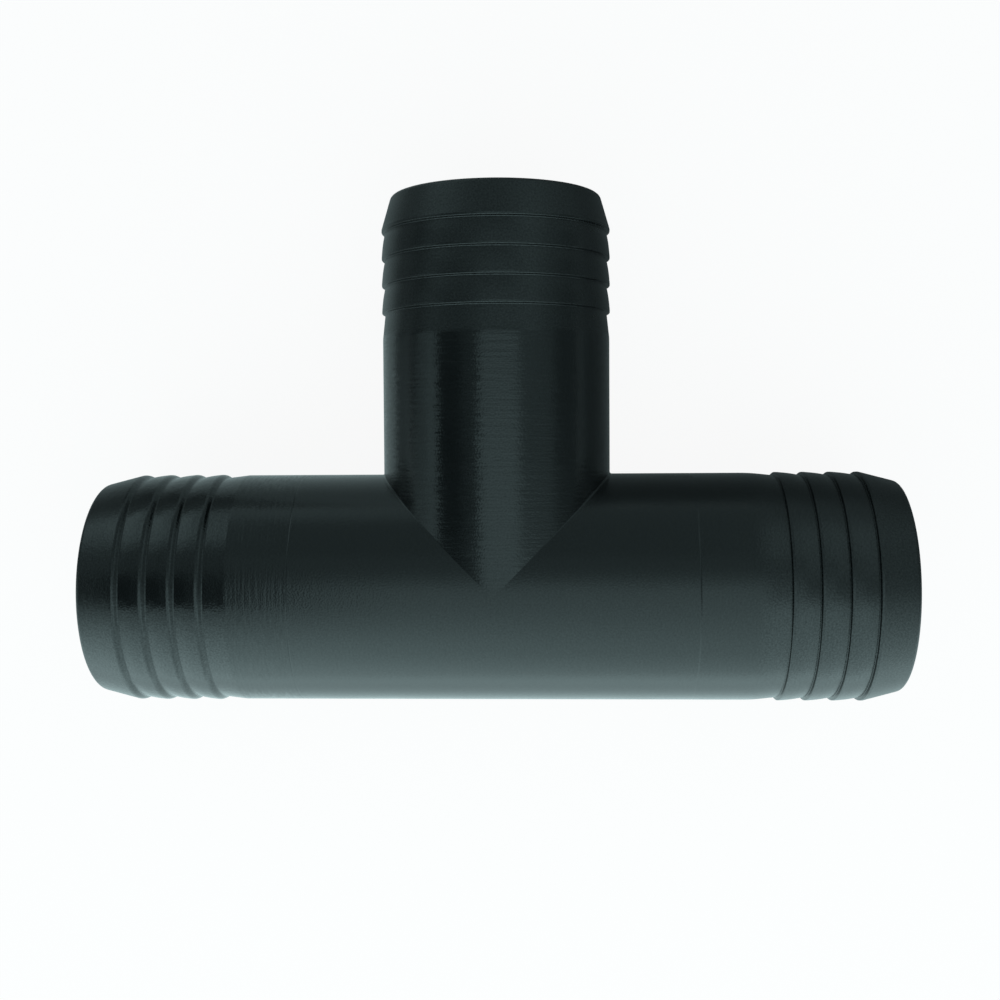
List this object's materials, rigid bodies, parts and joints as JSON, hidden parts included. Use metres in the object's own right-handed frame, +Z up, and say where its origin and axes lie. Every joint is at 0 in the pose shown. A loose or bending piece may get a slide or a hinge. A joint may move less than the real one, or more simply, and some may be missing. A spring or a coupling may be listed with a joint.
{
  "type": "hose barb tee",
  "caption": "Moulded plastic tee that joins three hoses: a straight run and a square branch of equal size, each leg ending in a stepped barb with a tapered nose.",
  "frame": {"origin": "the point where the axes of the three legs cross, in the middle of the passage", "axes": "+X along the run, +Y along the branch from the crossing to its end, +Z up and square to both, the thin way through the tee"},
  "size_m": [0.1364, 0.0866, 0.0392],
  "materials": {
    "black_plastic": "satin as moulded, black with a faint blue-green cast"
  },
  "bodies": {
    "root": {"tee_body": "black_plastic"}
  },
  "joints": []
}
